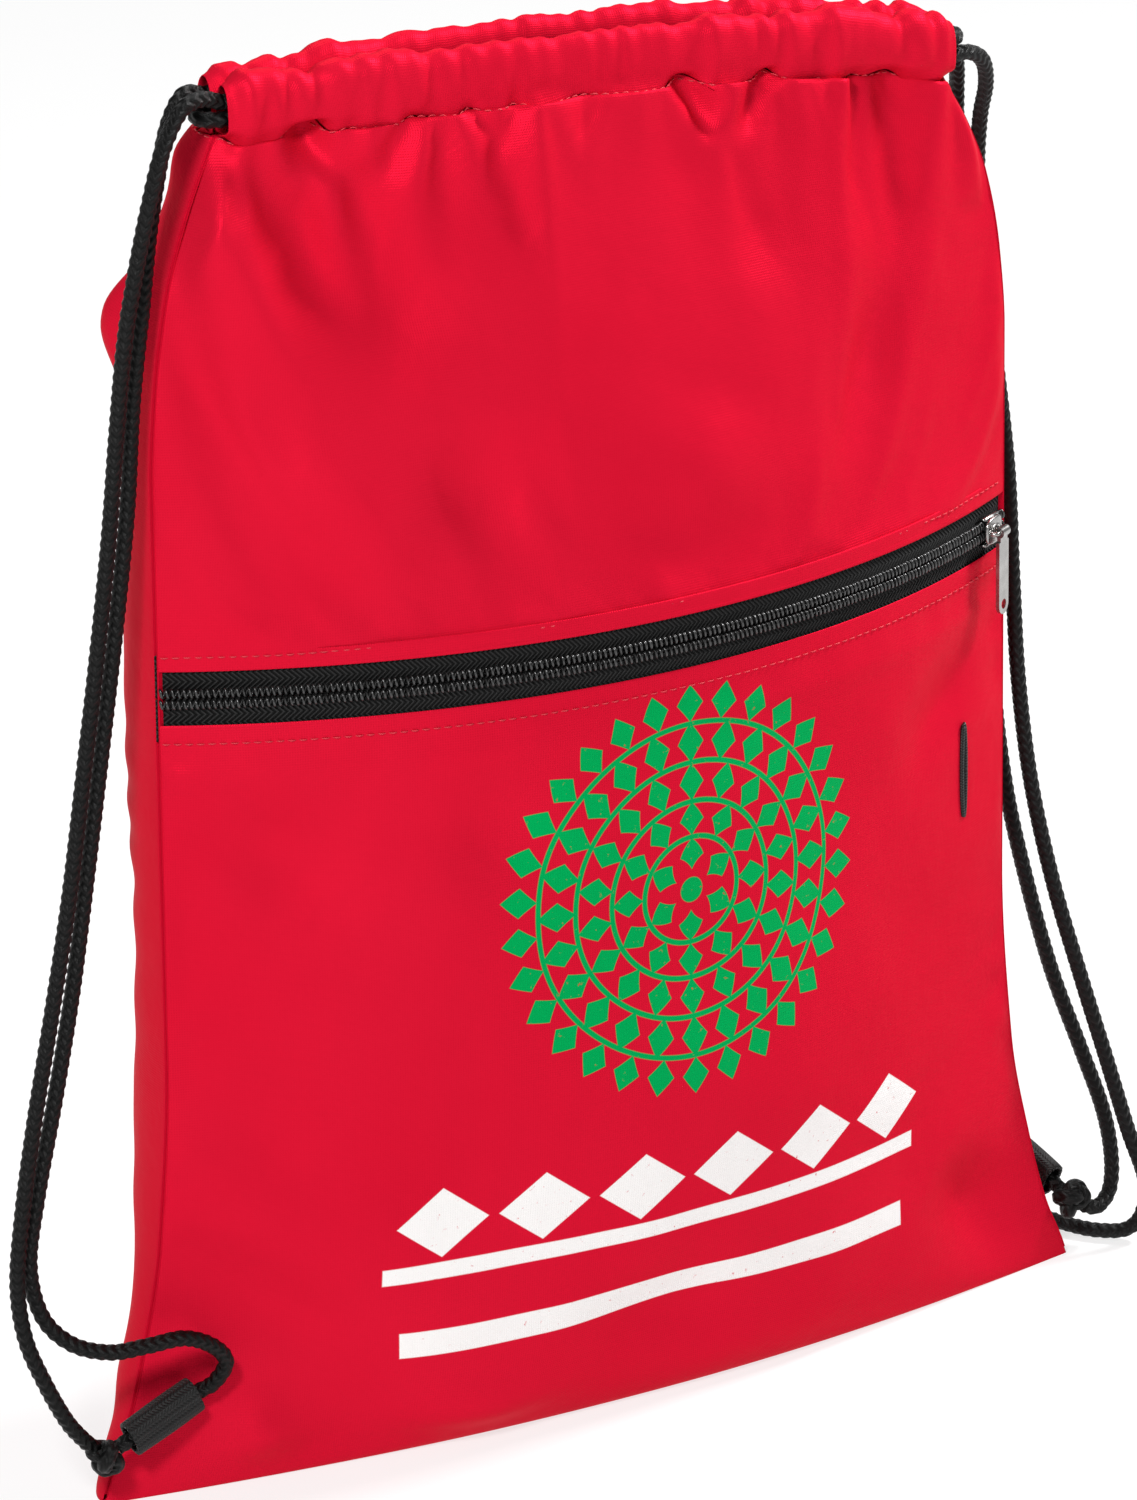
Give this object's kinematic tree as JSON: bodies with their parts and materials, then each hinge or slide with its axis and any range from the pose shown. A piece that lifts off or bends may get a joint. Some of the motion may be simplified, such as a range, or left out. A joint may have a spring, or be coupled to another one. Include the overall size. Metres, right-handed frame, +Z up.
{
  "type": "drawstring backpack",
  "caption": "Stuffed fabric drawstring bag standing upright, with a gathered cord channel round the mouth, a zipped front pocket, an earphone slit and cord loops sewn at the bottom corners",
  "frame": {"origin": "middle of the base, on the line of the bottom seam, on the surface that the bag stands on", "axes": "+Z up, the printed and zipped front faces -Y, +X to the right as seen from the front"},
  "size_m": [0.418, 0.1064, 0.442],
  "materials": {
    "red_fabric": "satin polyester plain weave",
    "lining_fabric": "satin polyester plain weave, inner side",
    "black_webbing": "ribbed woven tape",
    "black_nylon": "satin",
    "black_cord": "braided polyester",
    "thread": "spun polyester thread",
    "nickel": "satin nickel plate"
  },
  "bodies": {
    "bag": {"front_panel_upper": "red_fabric", "front_panel_lower": "red_fabric", "pocket_lining": "lining_fabric", "back_panel": "red_fabric", "channel_front": "red_fabric", "channel_back": "red_fabric", "side_seam_left": "lining_fabric", "side_seam_right": "lining_fabric", "bottom_seam": "lining_fabric", "zipper_tape_upper": "black_webbing", "zipper_tape_lower": "black_webbing", "zipper_coil_upper": "black_nylon", "zipper_coil_lower": "black_nylon", "pocket_topstitch_upper": "thread", "pocket_topstitch_lower": "thread", "channel_topstitch_front": "thread", "channel_topstitch_back": "thread", "earphone_port": "black_webbing", "corner_tab_left": "black_webbing", "corner_tab_right": "black_webbing", "tab_bartacks": "thread", "drawcord_left_outer": "black_cord", "drawcord_left_inner": "black_cord", "drawcord_right_outer": "black_cord", "drawcord_right_inner": "black_cord", "cord_run_left": "black_cord", "cord_run_right": "black_cord", "knot_left": "black_cord", "knot_right": "black_cord"},
    "slider": {"zipper_slider": "nickel"},
    "pull": {"zipper_pull": "nickel"}
  },
  "joints": [
    {"name": "zipper_travel", "type": "hinge", "parent": "bag", "child": "slider", "pos_m": [0, 0.24146, 0.255], "axis": [0, 0, -1], "range_deg": [0, 59]},
    {"name": "pull_swing", "type": "hinge", "parent": "slider", "child": "pull", "pos_m": [0.14394, -0.01191, 0.255], "axis": [-0.8695, -0.4939, 0], "range_deg": [-5, 165]}
  ]
}
